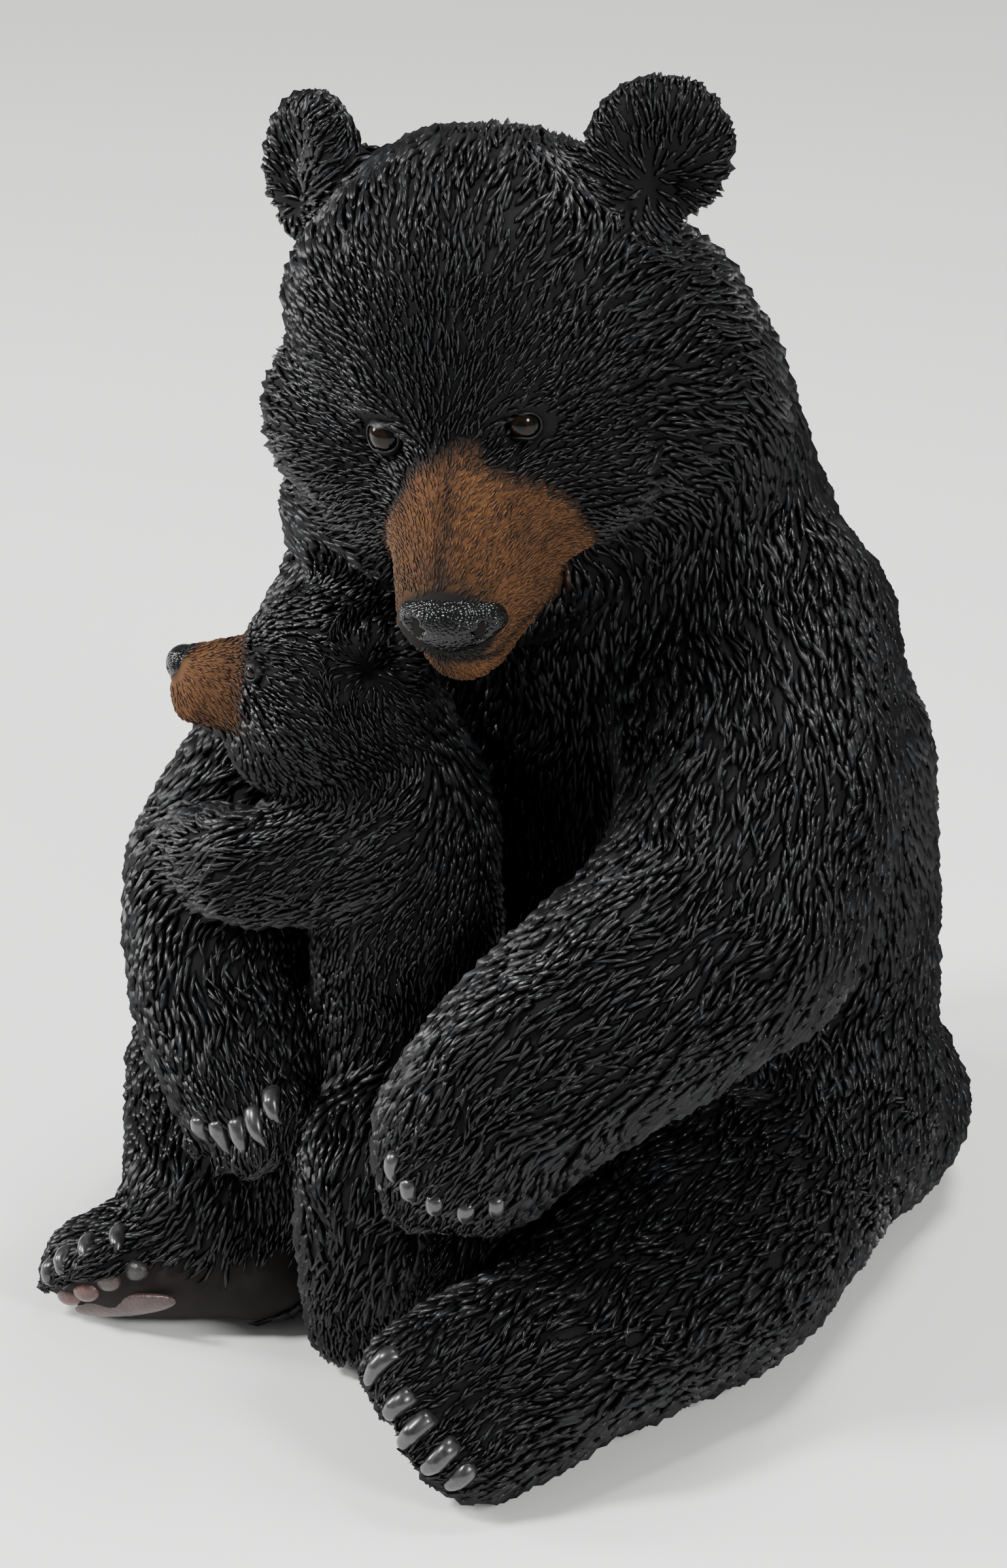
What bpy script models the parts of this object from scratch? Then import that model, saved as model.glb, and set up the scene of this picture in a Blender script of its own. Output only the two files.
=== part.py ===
"""Mother bear and cub statue: one hollow-cast resin body and four inset eyes.

Axes: the mother faces -Y, her left is +X, up is +Z. Free form is laid out
in shares of the statue's height: every number in the form lists below is
counted in 460ths of HEIGHT, so the whole statue follows that one value.
The masses are melted together in two steps, big ones first, then paws,
ears, muzzles and toes, so that small features stay crisp.
"""
import math

import bpy
from mathutils import Vector

# Driving sizes, in metres
HEIGHT = 0.460
UNIT = HEIGHT / 460.0
EYE_GAP = 0.0003
MOTHER_EYE_R = 0.0068
CUB_EYE_R = 0.0034
LOCK_DEPTH = 0.0030
LOCK_WIDTH = 0.013
LOCK_LENGTH = 0.034
COARSE_VOXEL = 0.0036
FINE_VOXEL = 0.0024
TRIANGLES = 7900

# The mother's trunk from seat to nape: rows of (x, y, z, rx, ry, rz)
MOTHER_TRUNK = ((4, 4, 58, 97, 86, 56), (4, 2, 104, 98, 87, 58), (4, -5, 178, 98, 86, 60),
                (3, -22, 236, 83, 75, 54), (4, -42, 288, 73, 68, 50), (6, -70, 340, 74, 68, 48),
                (8, -86, 366, 68, 64, 42))

# Haunches, skull, cheeks, brow and lap: centre, radii, turn in degrees about Z
MOTHER_BALLS = (
    ((2, 9, 33), (111, 99, 47), 0),
    ((3, -113, 376), (68, 66, 60), 27),
    ((-1, -116, 339), (72, 60, 47), 27),
    ((-11, -107, 299), (64, 56, 46), 27),
    ((24, -147, 364), (46, 30, 32), 27),
    ((46, -128, 334), (32, 26, 27), 27),
    ((8, -150, 324), (32, 26, 27), 27),
    ((20, -108, 32), (62, 76, 34), 0),
)

# Limbs of the mother: rows of (x, y, z, radius)
MOTHER_LIMBS = (
    ((-66, -53, 254, 47), (-82, -105, 195, 38), (-90, -148, 152, 36),
     (-70, -176, 122, 32), (-44, -189, 100, 28)),
    ((62, -42, 246, 52), (100, -84, 214, 47), (112, -120, 182, 45),
     (97, -160, 162, 41), (77, -186, 140, 37), (61, -199, 114, 32)),
    ((24, -138, 346, 38), (33, -157, 326, 31), (41, -175, 306, 22)),
    ((62, -8, 52, 56), (98, -112, 46, 46), (94, -198, 40, 32)),
    ((-62, -8, 52, 56), (-102, -116, 54, 50), (-66, -184, 38, 33)),
)

# The cub: balls and limbs in the same manner
CUB_BALLS = (
    ((-22, -166, 249), (35, 34, 35), 0),
)
CUB_LIMBS = (
    ((-14, -152, 222, 29), (-8, -147, 190, 33), (-5, -149, 130, 33), (-2, -149, 78, 34)),
    ((-2, -164, 194, 24), (-46, -186, 180, 20), (-80, -172, 170, 17)),
    ((-24, -138, 204, 22), (-52, -140, 176, 17)),
    ((8, -165, 88, 30), (14, -194, 84, 26), (8, -196, 42, 19), (1, -189, 18, 17)),
    ((-20, -160, 78, 28), (-36, -176, 50, 20)),
)

# Small masses: nose pads and brows as balls, muzzles, jaws and feet as limbs
FINE_BALLS = (
    ((47.5, -191.5, 298.5), (18.5, 11, 13), 27),
    ((-69, -190, 252), (7, 9, 9), 30),
    ((-60, -187, 248), (13, 13, 13.5), 30),
    ((-34, -170, 229), (26, 25, 23), 0),
    ((46, -143, 370), (19, 16, 13), 46),
    ((4, -163, 364), (19, 16, 13), 8),
)
FINE_LIMBS = (
    ((36, -164, 318, 27), (42, -179, 303, 21)),
    ((33, -150, 298, 20), (43, -177, 287, 15)),
    ((-46, -178, 247, 18), (-60, -185, 246, 14.5)),
    ((86, -200, 48, 24), (66, -234, 42, 17)),
    ((96, -204, 28, 24), (90, -232, 19, 18)),
    ((-50, -182, 26, 26), (-84, -214, 20, 17.5)),
    ((-72, -172, 26, 26), (-100, -218, 18, 16)),
    ((30, -92, 408, 18), (47, -82, 428, 13)),
    ((-34, -116, 402, 18), (-54, -127, 414, 12)),
)

# Ears: centre, outer radius, facing azimuth and tilt in degrees
EARS = (
    ((49, -80, 431), 18, 52, 8),
    ((-61.5, -128.5, 417), 18, -22, 8),
    ((5, -172, 268), 10, 40, 0),
    ((-32, -140, 276), 10, -60, 0),
)

# Toes: first and last centre, bow of the row, how many, radius
TOES = (
    ((60, -238, 47), (90, -238, 17), (6, -8, -2), 5, 8.5),
    ((-76, -214, 30), (-106, -224, 15), (4, -8, 5), 5, 7.6),
    ((-16, -203, 104), (-54, -201, 80), (8, -6, -8), 5, 8.5),
    ((42, -212, 108), (80, -204, 98), (-4, -8, -10), 5, 8.5),
)

# Claws follow the toes: rows of first root, last root, bow, count, tip offset, radius
CLAWS = (
    ((59, -243, 50), (92, -243, 19), (6, -8, -2), 5, (-4, -4, -6), 4.6),
    ((-73, -218, 34), (-105, -228, 19), (4, -8, 5), 5, (-3, -4, -6), 4.4),
    ((-13, -207, 106), (-56, -206, 82), (8, -6, -8), 5, (-1, -3, -7), 4.6),
    ((40, -216, 108), (80, -209, 97), (-4, -8, -10), 5, (-1, -3, -7), 4.4),
)

# Eyes: name, centre, radius
EYES = (
    ("mother_left_eye", (51.5, -157, 358), MOTHER_EYE_R),
    ("mother_right_eye", (8.5, -175.5, 349.5), MOTHER_EYE_R),
    ("cub_left_eye", (-33.5, -195, 261), CUB_EYE_R),
    ("cub_right_eye", (-50, -160, 268), CUB_EYE_R),
)


def fresh_scene():
    for ob in list(bpy.data.objects):
        bpy.data.objects.remove(ob)
    for name in ("mother_and_cub_statue", "cutters"):
        group = bpy.data.collections.new(name)
        bpy.context.scene.collection.children.link(group)


def spot(x, y, z):
    return Vector((x, y, z)) * UNIT


def ball(centre, radii, turn=0.0):
    bpy.ops.mesh.primitive_uv_sphere_add(segments=40, ring_count=24, radius=1.0)
    ob = bpy.context.object
    ob.scale = [r * UNIT for r in radii]
    ob.rotation_euler = (0.0, 0.0, math.radians(turn))
    ob.location = spot(*centre)
    return ob


def stack(rows):
    """A close row of balls, so that the rows melt into one tapered form."""
    made = []
    for first, last in zip(rows, rows[1:]):
        reach = (Vector(last[:3]) - Vector(first[:3])).length
        steps = max(2, round(reach / 7.0))
        for k in range(steps + 1):
            share = k / steps
            row = [a + (b - a) * share for a, b in zip(first, last)]
            made.append(ball(row[:3], row[3:]))
    return made


def limb(rows):
    """A stack of round balls: each row gives x, y, z and one radius."""
    return stack([row[:3] + (row[3], row[3], row[3]) for row in rows])


def ear(centre, radius, azimuth, tilt):
    """A cupped ear: a thick ring closed by a thin disc at its back."""
    turn = (math.radians(90.0 - tilt), 0.0, math.radians(azimuth))
    place = spot(*centre)
    bpy.ops.mesh.primitive_torus_add(
        major_radius=radius * UNIT, minor_radius=0.42 * radius * UNIT,
        major_segments=40, minor_segments=16, location=place, rotation=turn)
    ring = bpy.context.object
    away = Vector((-math.sin(turn[2]), math.cos(turn[2]), 0.0))
    bpy.ops.mesh.primitive_uv_sphere_add(segments=32, ring_count=20, radius=radius * UNIT)
    disc = bpy.context.object
    disc.scale = (1.1, 1.1, 0.42)
    disc.rotation_euler = turn
    disc.location = place + away * 0.30 * radius * UNIT
    return [ring, disc]


def toes(first, last, bulge, count, radius):
    """A row of toe ends on a bowed line."""
    made = []
    for k in range(count):
        share = k / (count - 1)
        bow = 4.0 * share * (1.0 - share)
        middle = [a + (b - a) * share + c * bow for a, b, c in zip(first, last, bulge)]
        made.append(ball(middle, (radius, radius, radius)))
    return made


def claws(first, last, bow_by, count, reach, radius):
    """Tapered claws, one from each toe of a row."""
    made = []
    for k in range(count):
        share = k / (count - 1)
        bow = 4.0 * share * (1.0 - share)
        root = [a + (b - a) * share + c * bow for a, b, c in zip(first, last, bow_by)]
        tip = [a + b for a, b in zip(root, reach)]
        made += limb((tuple(root) + (radius,), tuple(tip) + (0.8 * radius,)))
    return made


def join(objects, name):
    bpy.ops.object.select_all(action="DESELECT")
    for ob in objects:
        ob.select_set(True)
    bpy.context.view_layer.objects.active = objects[0]
    if len(objects) > 1:
        bpy.ops.object.join()
    ob = bpy.context.object
    bpy.ops.object.transform_apply(location=True, rotation=True, scale=True)
    ob.name = name
    ob.data.name = name
    return ob


def apply_all(ob):
    bpy.ops.object.select_all(action="DESELECT")
    ob.select_set(True)
    bpy.context.view_layer.objects.active = ob
    for mod in list(ob.modifiers):
        bpy.ops.object.modifier_apply(modifier=mod.name)


def melt(ob, voxel, rounds):
    """Melt overlapping closed shapes into one skin and soften it."""
    mod = ob.modifiers.new("melt", "REMESH")
    mod.mode = "VOXEL"
    mod.voxel_size = voxel
    mod = ob.modifiers.new("soften", "SMOOTH")
    mod.factor = 0.5
    mod.iterations = rounds
    apply_all(ob)
    return ob


def outer_shell(ob):
    """Drops the skins of closed hollows and keeps the outside one."""
    bpy.ops.object.select_all(action="DESELECT")
    ob.select_set(True)
    bpy.context.view_layer.objects.active = ob
    bpy.ops.mesh.separate(type="LOOSE")
    shells = sorted(bpy.context.selected_objects, key=lambda piece: len(piece.data.vertices))
    for piece in shells[:-1]:
        bpy.data.objects.remove(piece)
    outside = shells[-1]
    return outside


def fur_weight(point):
    """How deep the locks are carved at a point: none on faces, paws and ears."""
    bare = (((40, -175, 310), 52), ((-55, -184, 250), 30), ((70, -238, 40), 34),
            ((-88, -220, 30), 34), ((-35, -207, 92), 30), ((60, -214, 104), 30),
            ((49, -80, 431), 30), ((-57, -128, 416), 30))
    depth = 1.0
    for centre, reach in bare:
        near = (point - spot(*centre)).length / (reach * UNIT)
        depth = min(depth, max(0.0, near - 1.0) * 2.5)
    return min(1.0, depth)


def carve_locks(ob):
    """Coarse locks of fur: a long-celled pattern pressed into the skin."""
    group = ob.vertex_groups.new(name="fur")
    for vert in ob.data.vertices:
        depth = fur_weight(vert.co)
        if depth > 0.0:
            group.add([vert.index], depth, "REPLACE")
    pattern = bpy.data.textures.new("locks", "VORONOI")
    pattern.noise_scale = 1.0
    pattern.weight_1 = 1.0
    frame = bpy.data.objects.new("lock_frame", None)
    bpy.data.collections["cutters"].objects.link(frame)
    frame.scale = (LOCK_WIDTH, LOCK_WIDTH, LOCK_LENGTH)
    frame.rotation_euler = (math.radians(-14.0), 0.0, 0.0)
    bpy.context.view_layer.update()
    mod = ob.modifiers.new("locks", "DISPLACE")
    mod.texture = pattern
    mod.texture_coords = "OBJECT"
    mod.texture_coords_object = frame
    mod.vertex_group = "fur"
    mod.strength = -LOCK_DEPTH
    mod.mid_level = 0.35
    apply_all(ob)
    bpy.data.objects.remove(frame)
    ob.vertex_groups.clear()


def thin_out(ob):
    mod = ob.modifiers.new("thin", "DECIMATE")
    mod.ratio = TRIANGLES / sum(len(face.vertices) - 2 for face in ob.data.polygons)
    mod.use_collapse_triangulate = True
    apply_all(ob)


def cutter(ob, name):
    ob.name = name
    for group in list(ob.users_collection):
        group.objects.unlink(ob)
    bpy.data.collections["cutters"].objects.link(ob)
    ob.hide_render = True
    ob.display_type = "WIRE"
    return ob


def cut(ob, tool):
    mod = ob.modifiers.new("cut", "BOOLEAN")
    mod.operation = "DIFFERENCE"
    mod.solver = "EXACT"
    mod.object = tool
    apply_all(ob)


def flat_underside(ob):
    """Everything under the floor plane is cut away, so the statue stands flat."""
    bpy.ops.mesh.primitive_cube_add(size=1.0, location=(0.0, -0.08, -0.25))
    block = cutter(bpy.context.object, "cut_floor")
    block.scale = (0.6, 0.6, 0.5)
    bpy.context.view_layer.update()
    cut(ob, block)


def eyes_and_sockets(body):
    made = []
    for name, centre, radius in EYES:
        place = spot(*centre)
        rounds = 3 if radius == MOTHER_EYE_R else 2
        bpy.ops.mesh.primitive_ico_sphere_add(
            subdivisions=rounds, radius=radius + EYE_GAP, location=place)
        cut(body, cutter(bpy.context.object, "cut_" + name))
        bpy.ops.mesh.primitive_ico_sphere_add(subdivisions=rounds, radius=radius, location=place)
        made.append(join([bpy.context.object], name))
    return made


def casting():
    big = stack(MOTHER_TRUNK)
    for centre, radii, turn in MOTHER_BALLS:
        big.append(ball(centre, radii, turn))
    for rows in MOTHER_LIMBS:
        big += limb(rows)
    mother = melt(join(big, "mother"), COARSE_VOXEL, 14)
    small = []
    for centre, radii, turn in CUB_BALLS:
        small.append(ball(centre, radii, turn))
    for rows in CUB_LIMBS:
        small += limb(rows)
    cub = melt(join(small, "cub"), COARSE_VOXEL, 5)
    fine = [ball(*row) for row in FINE_BALLS]
    for rows in FINE_LIMBS:
        fine += limb(rows)
    for row in EARS:
        fine += ear(*row)
    for row in TOES:
        fine += toes(*row)
    for row in CLAWS:
        fine += claws(*row)
    body = outer_shell(melt(join([mother, cub] + fine, "melted"), FINE_VOXEL, 3))
    body.name = "mother_and_cub"
    body.data.name = "mother_and_cub"
    return body


def finish(ob, colour, roughness):
    for group in list(ob.users_collection):
        group.objects.unlink(ob)
    bpy.data.collections["mother_and_cub_statue"].objects.link(ob)
    paint = bpy.data.materials.new(ob.name)
    paint.use_nodes = True
    shader = paint.node_tree.nodes["Principled BSDF"]
    shader.inputs["Base Color"].default_value = colour + (1.0,)
    shader.inputs["Roughness"].default_value = roughness
    ob.data.materials.clear()
    ob.data.materials.append(paint)


def centre_on_floor(objects):
    """Moves the origin to the middle of the statue's footprint box."""
    points = [ob.matrix_world @ vert.co for ob in objects for vert in ob.data.vertices]
    shift = Vector((0.5 * (min(p.x for p in points) + max(p.x for p in points)),
                    0.5 * (min(p.y for p in points) + max(p.y for p in points)), 0.0))
    for ob in objects:
        for vert in ob.data.vertices:
            vert.co = vert.co - shift
    return shift


def main():
    fresh_scene()
    body = casting()
    carve_locks(body)
    thin_out(body)
    flat_underside(body)
    eyes = eyes_and_sockets(body)
    finish(body, (0.012, 0.012, 0.013), 0.45)
    for ob in eyes:
        finish(ob, (0.02, 0.012, 0.008), 0.08)
    shift = centre_on_floor([body] + eyes)
    size = [max(v.co[i] for v in body.data.vertices) - min(v.co[i] for v in body.data.vertices)
            for i in range(3)]
    print("origin moved by", [round(v, 4) for v in shift])
    print("casting size", [round(v, 4) for v in size], "triangles",
          sum(len(face.vertices) - 2 for face in body.data.polygons))


main()
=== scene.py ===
# %% [markdown]
# # Mother bear and cub statue
# A hollow resin cast, painted by hand. The whole coat is carved: short,
# pointed locks of fur that overlap like shingles. The lesson loads the
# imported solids, makes a smooth skin from them, lays the carved locks along
# a flow of directions, and adds noses, claws, pads and eyes.

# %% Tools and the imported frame
import math
import bmesh
import bpy
import numpy as np
from mathutils import Matrix, Vector
from mathutils.bvhtree import BVHTree
from mathutils.kdtree import KDTree


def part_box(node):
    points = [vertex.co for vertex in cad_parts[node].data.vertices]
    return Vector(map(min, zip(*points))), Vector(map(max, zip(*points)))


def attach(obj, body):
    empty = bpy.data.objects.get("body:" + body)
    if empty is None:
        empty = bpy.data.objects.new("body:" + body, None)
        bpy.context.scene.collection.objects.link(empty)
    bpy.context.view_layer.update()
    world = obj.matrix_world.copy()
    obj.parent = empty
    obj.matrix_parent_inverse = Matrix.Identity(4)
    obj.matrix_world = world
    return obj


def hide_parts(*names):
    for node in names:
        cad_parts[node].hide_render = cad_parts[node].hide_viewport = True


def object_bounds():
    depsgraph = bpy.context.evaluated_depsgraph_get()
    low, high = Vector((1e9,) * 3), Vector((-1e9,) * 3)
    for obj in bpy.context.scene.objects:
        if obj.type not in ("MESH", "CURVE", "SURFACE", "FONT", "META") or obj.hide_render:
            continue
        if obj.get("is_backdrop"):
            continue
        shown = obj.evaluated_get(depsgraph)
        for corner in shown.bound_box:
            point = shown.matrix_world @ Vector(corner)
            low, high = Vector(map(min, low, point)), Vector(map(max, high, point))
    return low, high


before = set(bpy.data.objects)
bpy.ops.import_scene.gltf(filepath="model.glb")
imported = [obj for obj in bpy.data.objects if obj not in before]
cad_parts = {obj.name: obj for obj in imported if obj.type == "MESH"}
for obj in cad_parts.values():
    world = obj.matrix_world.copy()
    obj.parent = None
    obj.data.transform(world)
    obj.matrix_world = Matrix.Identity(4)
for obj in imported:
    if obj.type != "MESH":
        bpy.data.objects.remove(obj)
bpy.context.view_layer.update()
add_to_scene = bpy.context.scene.collection.objects.link

# %% [markdown]
# ## Places on the statue
# Places are easiest to give in millimetres from the point on the floor where
# the mother's middle line was first laid out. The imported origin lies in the
# middle of the footprint box, so one shift turns one into the other. The
# mother's left eye has a known place in both, and gives that shift.

# %% From laid-out millimetres to the frame's metres
LEFT_EYE = np.array([51.5, -157.0, 358.0])
eye_low, eye_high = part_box("mother_left_eye")
SHIFT = (np.array(eye_low) + np.array(eye_high)) / 2 - LEFT_EYE / 1000


def place(x, y, z):
    return Vector((x / 1000 + SHIFT[0], y / 1000 + SHIFT[1], z / 1000))


def laid_out(points):
    """Frame metres back to laid-out millimetres, for many points at once."""
    return (np.asarray(points) - SHIFT) * 1000


print("shift in metres", SHIFT.round(4))

# %% [markdown]
# ## Camera, light and floor
# The picture looks at the statue from its left front, a little from above.
# A long lens keeps the perspective calm. The real picture has soft, broad
# light from above and both sides, so large area lamps do it here.

# %% Camera at the picture's angle
camera_data = bpy.data.cameras.new("camera")
camera = bpy.data.objects.new("camera", camera_data)
add_to_scene(camera)
camera.location = place(982.8, -1359.4, 906.3)
aim = place(-85.8, 8.3, 133.5)
camera.rotation_euler = (aim - camera.location).to_track_quat("-Z", "Y").to_euler()
camera_data.lens = 113.5
camera_data.sensor_width = 36.0
bpy.context.scene.camera = camera
print("camera is", round((aim - camera.location).length, 3), "m from its aim")

# %% Soft studio lamps and a pale sky
def lamp(name, spot, target, size, watts):
    data = bpy.data.lights.new(name, "AREA")
    data.shape = "DISK"
    data.size = size
    data.energy = watts
    ob = bpy.data.objects.new(name, data)
    ob.location = spot
    ob.rotation_euler = (Vector(target) - Vector(spot)).to_track_quat("-Z", "Y").to_euler()
    add_to_scene(ob)


lamp("key_lamp", (-0.9, -1.5, 1.9), (0, 0, 0.25), 0.5, 74)
lamp("fill_lamp", (1.9, -0.6, 1.3), (0, 0, 0.25), 0.6, 42)
lamp("left_lamp", (-1.8, -1.0, 0.9), (0, 0, 0.2), 0.6, 42)
lamp("top_lamp", (0.3, 0.5, 2.2), (0, 0, 0.3), 0.7, 44)
world = bpy.data.worlds.new("studio")
world.use_nodes = True
world.node_tree.nodes["Background"].inputs["Color"].default_value = (1, 1, 1, 1)
world.node_tree.nodes["Background"].inputs["Strength"].default_value = 0.37
bpy.context.scene.world = world

# %% [markdown]
# ## Small helpers
# One function turns a painter's hex colour into the linear numbers that a
# shader wants, one adds a node with its settings and links, and one plugs a
# node into the shader. The others choose and count.

# %% Colour and node helpers
def linear(hex_colour):
    values = [int(hex_colour[i:i + 2], 16) / 255 for i in (1, 3, 5)]
    return [v / 12.92 if v <= 0.04045 else ((v + 0.055) / 1.055) ** 2.4 for v in values]


def node(material, kind, settings=(), links=()):
    """Adds a node; settings are (name, value), links are (input, node, output)."""
    made = material.node_tree.nodes.new(kind)
    for name, value in settings:
        if name in made.inputs:
            made.inputs[name].default_value = value
        else:
            setattr(made, name, value)
    for name, source, output in links:
        material.node_tree.links.new(source.outputs[output], made.inputs[name])
    return made


def new_material(name, settings):
    made = bpy.data.materials.new(name)
    made.use_nodes = True
    for key, value in settings:
        made.node_tree.nodes["Principled BSDF"].inputs[key].default_value = value
    return made


def plug(material, source, output, socket):
    """Links a node's output into the material's shader."""
    shader = material.node_tree.nodes["Principled BSDF"]
    material.node_tree.links.new(source.outputs[output], shader.inputs[socket])


def nothing_selected():
    if bpy.context.object and bpy.context.object.mode != "OBJECT":
        bpy.ops.object.mode_set(mode="OBJECT")
    bpy.ops.object.select_all(action="DESELECT")


def only(ob):
    nothing_selected()
    ob.select_set(True)
    bpy.context.view_layer.objects.active = ob


def triangles(ob):
    return sum(len(face.vertices) - 2 for face in ob.data.polygons)


# %% [markdown]
# ## The floor
# A plain pale sheet of paper under the statue, as in a small studio.

# %% Floor
nothing_selected()
bpy.ops.mesh.primitive_plane_add(size=8.0, location=(0, 0, -0.0005))
floor = bpy.context.object
floor.name = "studio_floor"
paper = new_material("pale matt paper", [("Base Color", (*linear("#f4f4f2"), 1)), ("Roughness", 0.9)])
grain = node(paper, "ShaderNodeTexNoise", [("Scale", 900.0)])
rise = node(paper, "ShaderNodeBump", [("Strength", 0.05), ("Distance", 0.0002)], [("Height", grain, "Fac")])
plug(paper, rise, "Normal", "Normal")
floor.data.materials.append(paper)
floor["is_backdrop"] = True

# %% [markdown]
# ## The skin under the fur
# On the real statue the coat is cut into one clay body before the mould is
# made. A copy of the casting is melted into even small squares, which loses
# the flat facets of the solid and keeps its form. Sculpting by hand would
# start the same way.

# %% A smooth skin from a copy of the casting
SKIN_SQUARE = 0.0030
SOFTEN_ROUNDS = 8
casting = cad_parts["mother_and_cub"]
skin = bpy.data.objects.new("carved_body", casting.data.copy())
add_to_scene(skin)
skin.data.materials.clear()
work = bmesh.new()
work.from_mesh(skin.data)
bmesh.ops.remove_doubles(work, verts=work.verts, dist=0.00001)
work.to_mesh(skin.data)
work.free()
only(skin)
melt = skin.modifiers.new("melt", "REMESH")
melt.mode = "VOXEL"
melt.voxel_size = SKIN_SQUARE
soften = skin.modifiers.new("soften", "SMOOTH")
soften.factor = 0.5
soften.iterations = SOFTEN_ROUNDS
bpy.ops.object.modifier_apply(modifier="melt")
bpy.ops.object.modifier_apply(modifier="soften")
print("skin has", triangles(skin), "triangles")

# %% [markdown]
# ## Which way the fur lies
# Fur runs from the nose back over the head, down the trunk, and along each
# limb to its toes. Each limb is a chain of places with a thickness, like an
# armature's bones. A point on the skin takes the direction of the chains near
# it, and on the heads it points away from the nose.

# %% Chains that lead the fur
# A chain: its strength, and rows of place and thickness
CHAINS = {
    "trunk": (1.0, ((8, -40, 372, 74), (5, -20, 300, 86), (2, -5, 200, 100), (2, 5, 60, 104),
        (2, 5, 0, 104))),
    "chest": (1.2, ((20, -96, 300, 44), (12, -110, 240, 36), (10, -120, 120, 30))),
    "left_arm": (2.2, ((56, -36, 256, 56), (100, -84, 214, 47), (112, -120, 182, 45),
        (97, -160, 162, 41), (77, -186, 140, 37), (60, -204, 108, 31),
        (56, -214, 88, 24))),
    "right_arm": (2.2, ((-58, -44, 250, 48), (-84, -105, 196, 41), (-90, -148, 152, 36),
        (-70, -176, 122, 32), (-42, -196, 94, 28), (-34, -206, 76, 22))),
    "left_leg": (1.8, ((60, 20, 60, 70), (98, -60, 56, 52), (98, -112, 46, 46),
        (94, -198, 40, 32), (80, -250, 24, 20))),
    "right_leg": (1.8, ((-60, 20, 60, 70), (-98, -60, 60, 54), (-102, -116, 54, 50),
        (-66, -184, 38, 33), (-94, -232, 18, 20))),
    "cub_body": (1.6, ((-16, -150, 232, 30), (-8, -147, 190, 34), (-5, -149, 130, 34), (-2, -149, 60, 34))),
    "cub_left_arm": (3.0, ((4, -160, 200, 25), (-46, -186, 180, 20), (-84, -170, 168, 16))),
    "cub_right_arm": (3.0, ((-20, -138, 206, 22), (-52, -140, 174, 17))),
    "cub_left_leg": (2.4, ((8, -160, 96, 30), (14, -194, 84, 26), (8, -196, 42, 19), (1, -192, 10, 17))),
    "cub_right_leg": (2.4, ((-16, -156, 84, 28), (-38, -180, 44, 20))),
}
# A head or ear: strength, centre, radius, and the place that its fur grows away from
HEADS = {
    "mother_head": (3.0, (6, -118, 362), 78, (38, -192, 338)),
    "mother_muzzle": (9.0, (45, -178, 312), 24, (50, -206, 296)),
    "cub_head": (4.0, (-22, -166, 249), 36, (-56, -184, 262)),
    "cub_muzzle": (9.0, (-58, -187, 248), 14, (-74, -196, 254)),
    "mother_left_ear": (9.0, (49, -80, 431), 27, (56, -90, 424)),
    "mother_right_ear": (9.0, (-61, -127, 415), 27, (-63, -134, 406)),
    "cub_left_ear": (8.0, (5, -172, 268), 15, (5, -178, 265)),
    "cub_right_ear": (8.0, (-32, -140, 276), 15, (-30, -142, 266)),
}
# Millimetres over which a limb's and a head's pull fade, and how much fur hangs
LIMB_FADE = 9.0
HEAD_FADE = 7.0
HANG = 0.02


def nearest_on_chain(points, rows):
    """Distance from the chain's surface, and the chain's direction, at each point."""
    best = np.full(len(points), 1e9)
    heading = np.zeros((len(points), 3))
    for first, last in zip(rows, rows[1:]):
        a, b = np.array(first[:3], float), np.array(last[:3], float)
        step = b - a
        share = np.clip((points - a) @ step / (step @ step), 0, 1)
        gap = np.linalg.norm(points - a - share[:, None] * step, axis=1)
        gap -= first[3] + (last[3] - first[3]) * share
        closer = gap < best
        best[closer] = gap[closer]
        heading[closer] = step / np.linalg.norm(step)
    return best, heading


def flow(points):
    """Unit direction in which the fur lies, for laid-out points in millimetres."""
    total = np.zeros((len(points), 3))
    for strength, rows in CHAINS.values():
        gap, heading = nearest_on_chain(points, rows)
        total += heading * (strength * np.exp(-np.clip(gap, 0, None) / LIMB_FADE))[:, None]
    for strength, centre, radius, source in HEADS.values():
        gap = np.linalg.norm(points - centre, axis=1) - radius
        away = points - source
        away /= np.linalg.norm(away, axis=1)[:, None] + 1e-6
        total += away * (strength * np.exp(-np.clip(gap, 0, None) / HEAD_FADE))[:, None]
    total[:, 2] -= HANG
    return total / (np.linalg.norm(total, axis=1)[:, None] + 1e-9)


print("fur on the brow lies along", [round(v, 2) for v in flow(np.array([[30.0, -170.0, 375.0]]))[0]])

# %% [markdown]
# ## Painted and bare zones
# The painter's zones follow the form: tan muzzles with a wedge that runs up
# between the eyes, black coat, bare pads under the feet. Each zone is a soft
# mask, worked out from the distance to a muzzle's middle line or a pad.

# %% Zone masks
MUZZLE_SIDE = np.array([0.89, 0.45, 0.0])
# The cub's tan: its chain, and the plane behind which it fades
CUB_TAN = ((-50, -182, 248, 17), (-66, -189, 246, 16))
CUB_CHEEK = np.array([-44.0, -187.0, 258.0])
CUB_OUT = np.array([-0.87, -0.48, -0.05])
# The mother's tan: bridge and nose, the cheek on each side, and the jaw
TAN_CHAINS = (
    ((38, -171, 342, 10), (40, -178, 329, 19), (44, -184, 313, 24), (46, -188, 299, 23)),
    ((46, -175, 333, 13), (55, -164, 329, 12), (58, -156, 322, 13), (56, -143, 310, 12)),
    ((46, -174, 318, 21), (48, -160, 303, 21), (50, -149, 301, 16)),
    ((31, -181, 317, 17), (22, -176, 303, 17), (14, -171, 300, 10)),
    ((38, -150, 292, 24), (45, -175, 284, 22)),
)


def soft_step(value):
    value = np.clip(value, 0, 1)
    return value * value * (3 - 2 * value)


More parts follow.
